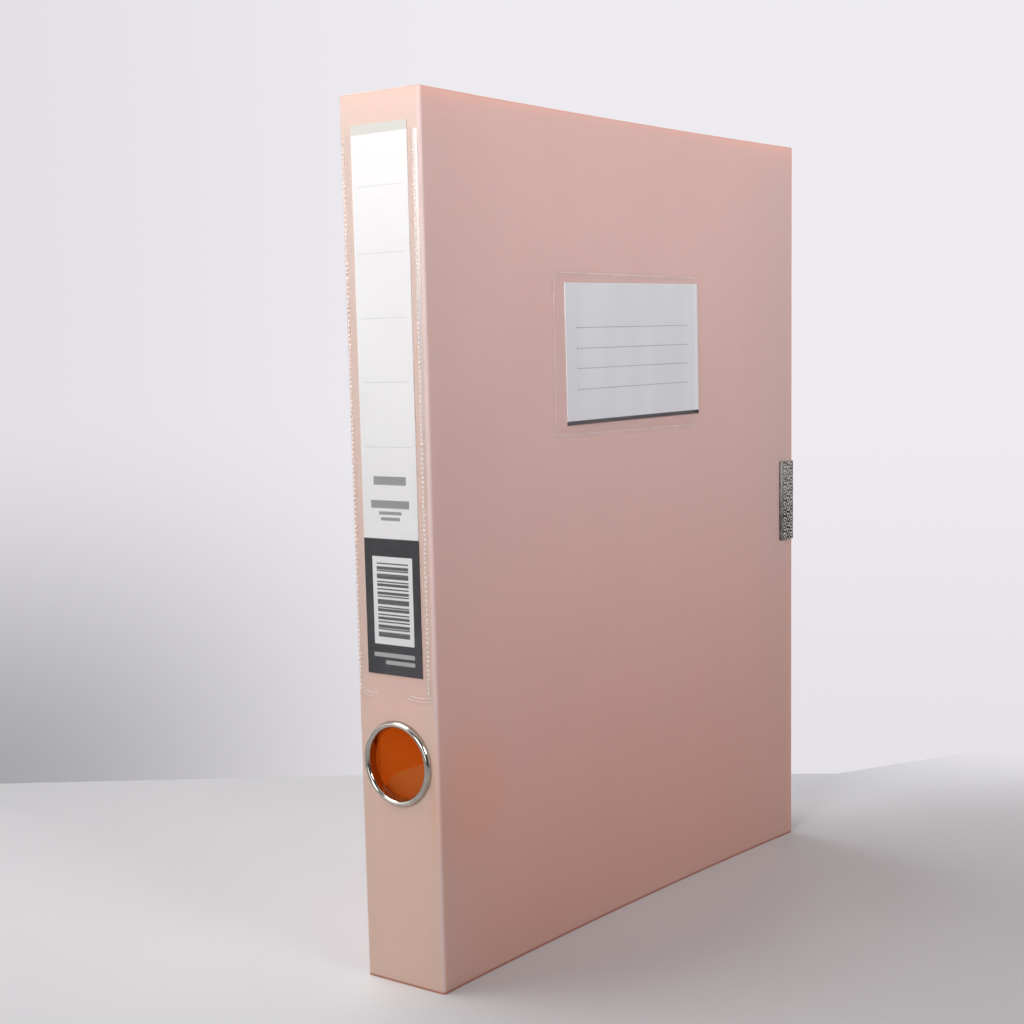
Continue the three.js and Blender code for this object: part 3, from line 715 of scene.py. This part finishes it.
# Painted sheen: soft vertical streaks of lighter paper stand for sheen on the film over the card.
streak = place.noise(75, 2, 0.5, (1, 1, 0.15)).rise(0.3, 0.7)
paper = streak.colour((0.82, 0.82, 0.85, 1), (0.87, 0.87, 0.90, 1))
CARD = 0.3 * MM
turn = math.radians(0.8)
card_x, card_z = 3.2 * MM, 221.05 * MM
along = (across - card_x) * math.cos(turn) + (up - card_z) * math.sin(turn)
over = (up - card_z) * math.cos(turn) - (across - card_x) * math.sin(turn)
dash = along.between(-39 * MM, 38.4 * MM, 0.1 * MM)
dash = dash * along.sum("FRACT", along / (2.4 * MM)).between(0.1, 0.5, 0.04)
dashed = over.between(9.57 * MM, 9.83 * MM, 0.06 * MM)
for z in (2.05, -5.4, -13.15):
    dashed = dashed + over.between((z - 0.13) * MM, (z + 0.13) * MM, 0.06 * MM)
strip = 1 - over.rise(-24.8 * MM, -24.65 * MM)
outside = along.rise(42.2 * MM, 42.5 * MM)
colour = (dash * dashed).colour(paper, grey(0.10))
colour = (outside * 0.3).colour(colour, (0.93, 0.93, 0.95, 1))
colour = strip.colour(colour, outside.colour((0.06, 0.05, 0.05, 1), grey(0.035)))
close_card(colour, fibre, 0.6)
card_u, card_v = np.meshgrid(np.linspace(-45.3, 45.3, 70) * MM, np.linspace(-26.2, 26.2, 40) * MM,
                             indexing="ij")
flat_x = (card_x + card_u * math.cos(turn) - card_v * math.sin(turn)).ravel()
flat_z = (card_z + card_u * math.sin(turn) + card_v * math.cos(turn)).ravel()
near_y = cover_y(flat_x, flat_z) - SEAT
cover_card = closed_sheet(
    "cover_card",
    np.stack([flat_x, near_y - CARD, flat_z], axis=1),
    np.stack([flat_x, near_y, flat_z], axis=1),
    grid_faces(*card_u.shape),
    cover_card_paint,
)
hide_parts("front_label_card")
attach(cover_card, "cover")

POCKET_LEFT, POCKET_RIGHT = -50.8, 45.4
POCKET_LOW, POCKET_HIGH = 189.5, 251.4
from_left = np.array([0, 0.3, 0.9, 1.5, 2.2, 3.3, 4.6, 5.6, 6.4, 7.2])
from_low = np.array([0, 0.3, 0.8, 1.3, 1.9, 2.7, 3.7, 4.5])
from_high = np.array([3.4, 2.7, 2.1, 1.6, 1.1, 0.5, 0.2, 0])
cover_film_x = [POCKET_LEFT + from_left, np.linspace(-42.6, POCKET_RIGHT, 60)]
cover_film_z = [POCKET_LOW + from_low, np.linspace(195, 247, 44), POCKET_HIGH - from_high]
cover_film_x = np.concatenate(cover_film_x) * MM
cover_film_z = np.concatenate(cover_film_z) * MM
film_x, film_z = np.meshgrid(cover_film_x, cover_film_z, indexing="ij")
raised = eased(film_x, -48.2 * MM, -44.2 * MM) * eased(film_z, 190.8 * MM, 193.8 * MM)
raised = raised * eased(-film_z, -250.2 * MM, -248.0 * MM)
breath = 0.05 * MM * np.sin(film_x * 85 + 0.5) * np.sin(film_z * 60 + film_x * 30)
film_near = cover_y(film_x, film_z) - SEAT - raised * (FILM_RISE + breath)
film_near = np.stack([film_x.ravel(), film_near.ravel(), film_z.ravel()], axis=1)
cover_film = closed_sheet("cover_pocket", film_near - np.array([0, FILM, 0]), film_near,
                          grid_faces(*film_x.shape), film_clear, 50)
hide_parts("front_pocket_film")
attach(cover_film, "cover")

SEAM_HALF = 0.24 * MM
SEAM_RISE = 0.05 * MM


def weld_line(points):
    """A narrow raised weld along points (x, z) with their direction, on the cover's film."""
    corners = []
    for x, z, along_x, along_z in points:
        y = cover_y(x, z) - SEAT - FILM
        side = (-along_z * SEAM_HALF, along_x * SEAM_HALF)
        corners.append([(x - side[0], y + SEAM_RISE, z - side[1]), (x, y - SEAM_RISE, z),
                        (x + side[0], y + SEAM_RISE, z + side[1]), (x, y + 2 * SEAM_RISE, z)])
    return corners


def weld_seam(name, lines):
    points, faces = [], []
    for line in lines:
        start = len(points)
        for corners in line:
            points += corners
        for i in range(len(line) - 1):
            for j in range(4):
                a, b = start + 4 * i + j, start + 4 * i + (j + 1) % 4
                faces.append((a, b, b + 4, a + 4))
        last = start + 4 * (len(line) - 1)
        faces += [(start + 3, start + 2, start + 1, start), (last, last + 1, last + 2, last + 3)]
    piece = finish_mesh(name, points, faces, weld_clear, 80)
    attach(piece, "cover")


SEAM_LEFT = -49.5 * MM
SEAM_LOW, SEAM_HIGH = 190.8 * MM, 250.1 * MM
seam_x = np.linspace(-49.6, 45.0, 90) * MM
seam_z = np.linspace(SEAM_LOW, SEAM_HIGH, 60)
weld_seam("cover_welds", [
    weld_line([(x, SEAM_HIGH, 1, 0) for x in seam_x]),
    weld_line([(x, SEAM_LOW, 1, 0) for x in seam_x]),
    weld_line([(SEAM_LEFT, z, 0, 1) for z in seam_z]),
])


# Finger ring
# A half-round ring stamped from thin steel and plated with nickel. Its neck passes through the
# hole in the spine and is curled over a washer behind it.
nickel, place = new_material("polished_nickel")
smear = place.noise(160, 3).rise(0.3, 0.7)
close_material(smear.node("BsdfPrincipled", None, {
    "Base Color": smear.colour((0.44, 0.41, 0.36, 1), (0.54, 0.51, 0.46, 1)),
    "Metallic": 1.0,
    "Roughness": smear * 0.05 + 0.08,
}))


def turned(name, profile, centre, axis, turns, material):
    """A ring: profile is (radius, rise along axis), closed, turned round the axis."""
    profile = np.array(profile)
    angles = np.linspace(0, 2 * np.pi, turns, endpoint=False)
    axis = Vector(axis)
    side = axis.orthogonal().normalized()
    other = axis.cross(side)
    points = []
    for angle in angles:
        away = side * math.cos(angle) + other * math.sin(angle)
        points += [tuple(Vector(centre) + away * r + axis * h) for r, h in profile]
    count = len(profile)
    faces = []
    for i in range(turns):
        for j in range(count):
            k = (j + 1) % count
            i2 = (i + 1) % turns
            faces.append((i * count + j, i * count + k, i2 * count + k, i2 * count + j))
    return finish_mesh(name, points, faces, material)


RING_INNER = 12.75 * MM
RING_OUTER = 15.25 * MM
RING_RISE = 1.9 * MM
RING_METAL = 0.45 * MM
WASHER = 0.6 * MM
CURL = 0.6 * MM
CURL_WIDTH = 1.05 * MM
rim_centre = (RING_INNER + RING_OUTER) / 2
rim_half = (RING_OUTER - RING_INNER) / 2
over_rim = [math.radians(a) for a in np.linspace(0, 180, 25)]
ring_profile = [(rim_centre + rim_half * math.cos(a), SEAT + RING_RISE * math.sin(a))
                for a in over_rim]
neck_end = -SHEET - SEAT - WASHER - CURL
ring_profile += [
    (RING_INNER, neck_end + RING_METAL),
    (RING_INNER + 0.13 * MM, neck_end + 0.13 * MM),
    (RING_INNER + RING_METAL, neck_end),
    (RING_INNER + CURL_WIDTH, neck_end),
    (RING_INNER + CURL_WIDTH, neck_end + RING_METAL),
    (RING_INNER + RING_METAL, neck_end + RING_METAL),
]
ring_profile += [(rim_centre - (rim_half - RING_METAL) * math.cos(a),
                  SEAT + (RING_RISE - RING_METAL) * math.sin(a)) for a in over_rim[::3]]
finger_ring = turned("finger_ring", ring_profile, (-HALF_WIDTH, 0, HOLE_HEIGHT), (-1, 0, 0), 144,
                     nickel)
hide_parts("finger_ring_front")
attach(finger_ring, "spine")
dress("finger_ring_back", nickel, 0)


# Edge clip
# A strip of thin steel folded round the cover's fore-edge, where the magnet behind it holds the
# box shut. Its outer leg is pressed with a plain border and rows of small coils.
CLIP_LENGTH = 35
CLIP_OUTER_LEG = 10.3
CLIP_INNER_LEG = 8
CLIP_METAL = 0.4
CLIP_BEND = 0.7
CLIP_GAP = 1.0
RELIEF_HEIGHT = 0.16
COIL_PITCH = 3.5
COIL_WIND = 4.6
COIL_REACH = 1.9
BORDER_LINE = 1.55
CLIP_TILT = math.atan2(4 * COVER_BOW, COVER_SPAN)
clip_nickel, place = new_material("embossed_nickel")
relief_value = place.node("Attribute", {"attribute_name": "relief"}, None, out="Fac")
worn = place.noise(300, 3).rise(0.25, 0.75)
# Painted highlight and shade: raised parts of the relief are painted pale nickel and all lower metal
# near black, with some random wear between.
high = relief_value.rise(0.15, 0.75)
close_material(worn.node("BsdfPrincipled", None, {
    "Base Color": (high * 0.75 + worn * 0.25).colour((0.020, 0.017, 0.014, 1), (0.92, 0.88, 0.80, 1)),
    "Metallic": 1.0,
    "Roughness": worn * 0.08 + 0.09,
}))


def clip_relief(leg, height):
    """How far the pattern stands out, from 0 to 1. leg runs in from the border, in mm."""
    field = np.zeros_like(leg)
    for column, (centre, start) in enumerate(((3.4, 0.0), (6.2, COIL_PITCH / 2), (9.0, 0.0))):
        along = height + CLIP_LENGTH / 2 + start
        step = np.floor(along / COIL_PITCH)
        cell = along % COIL_PITCH - COIL_PITCH / 2
        across_cell = leg - centre
        reach = np.hypot(across_cell, cell)
        side = 1 - 2 * ((step + column) % 2)
        coil = np.cos(side * np.arctan2(cell, across_cell) + reach * COIL_WIND)
        field = np.maximum(field, np.clip(coil, 0, 1) * np.exp(-(reach / COIL_REACH) ** 4))
    border = np.exp(-((leg - BORDER_LINE) / 0.16) ** 2) * 0.6 + (leg < BORDER_LINE - 0.2) * 0.35
    inside = np.clip((leg - BORDER_LINE - 0.15) / 0.3, 0, 1) * np.clip((9.9 - leg) / 0.3, 0, 1)
    ends = np.clip((CLIP_LENGTH / 2 - abs(height)) / 0.25, 0, 1)
    return np.minimum(border + field * inside, 1) * ends


def clip_section():
    """The metal's outer line from the outer leg's free edge, in mm: each point is x, y, its
    outward direction and how far it is along the outer leg."""
    past_leg = CLIP_OUTER_LEG + 0.1
    path = []
    for leg in np.arange(0, CLIP_OUTER_LEG, 0.125):
        path.append((leg - CLIP_OUTER_LEG, -CLIP_BEND, 0, -1, leg))
    for first, centre_y in ((-90, 0), (0, CLIP_GAP)):
        for angle in np.radians(np.linspace(first, first + 90, 7)):
            out_x, out_y = math.cos(angle), math.sin(angle)
            path.append((CLIP_BEND * out_x, centre_y + CLIP_BEND * out_y, out_x, out_y, past_leg))
    for x in np.linspace(-0.5, -CLIP_INNER_LEG, 12):
        path.append((x, CLIP_GAP + CLIP_BEND, 0, 1, past_leg))
    return np.array(path)


section = clip_section()
clip_z = np.linspace(-CLIP_LENGTH / 2, CLIP_LENGTH / 2, 281)
rows, columns = len(section), len(clip_z)
line = np.repeat(section, columns, axis=0)
height = np.tile(clip_z, rows)
relief = np.where(line[:, 4] < CLIP_OUTER_LEG, clip_relief(line[:, 4], height), 0)
outward = np.stack([line[:, 2], line[:, 3], np.zeros(len(line))], axis=1)
face_points = np.stack([line[:, 0], line[:, 1], height], axis=1)
clip_outer = face_points + outward * relief[:, None] * RELIEF_HEIGHT
clip_inner = face_points - outward * CLIP_METAL
swing = np.array([[math.cos(-CLIP_TILT), -math.sin(-CLIP_TILT), 0],
                  [math.sin(-CLIP_TILT), math.cos(-CLIP_TILT), 0], [0, 0, 1]])
corner = np.array([HALF_WIDTH, -HALF_DEPTH, HEIGHT / 2])
edge_clip = closed_sheet("edge_clip", clip_outer * MM @ swing.T + corner,
                         clip_inner * MM @ swing.T + corner, grid_faces(rows, columns),
                         clip_nickel, 60)
values = edge_clip.data.attributes.new("relief", "FLOAT", "POINT")
values.data.foreach_set("value", np.concatenate([relief, relief * 0]).astype(np.float32))
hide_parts("clasp_plate")
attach(edge_clip, "cover")


# Magnet holder and rivets
# A moulded cup stands through a window in the flange and holds a bar magnet behind the clip.
# Two rivets hold it, and two more join the end walls' tabs to the fore-edge wall.
holder_plastic, place = new_material("holder_plastic")
speck = place.noise(700, 3)
close_material(speck.node("BsdfPrincipled", None, {
    "Base Color": place.noise(40, 2).colour((0.74, 0.66, 0.63, 1), (0.82, 0.75, 0.72, 1)),
    "Roughness": speck * 0.15 + 0.4,
    "Normal": speck.bump(0.15, 0.00006),
}))
dress("magnet_holder", holder_plastic, 0.15 * MM)
magnet_grey, place = new_material("magnet_grey")
speck = place.noise(1200, 4, 0.7)
close_material(speck.node("BsdfPrincipled", None, {
    "Base Color": speck.colour(grey(0.045), grey(0.11)),
    "Roughness": speck * 0.2 + 0.45,
    "Normal": speck.bump(0.3, 0.00006),
}))
dress("magnet_bar", magnet_grey, 0.2 * MM)
for rivet in ("corner_rivet_bottom", "corner_rivet_top", "holder_rivet_bottom", "holder_rivet_top"):
    dress(rivet, nickel, 0.1 * MM)
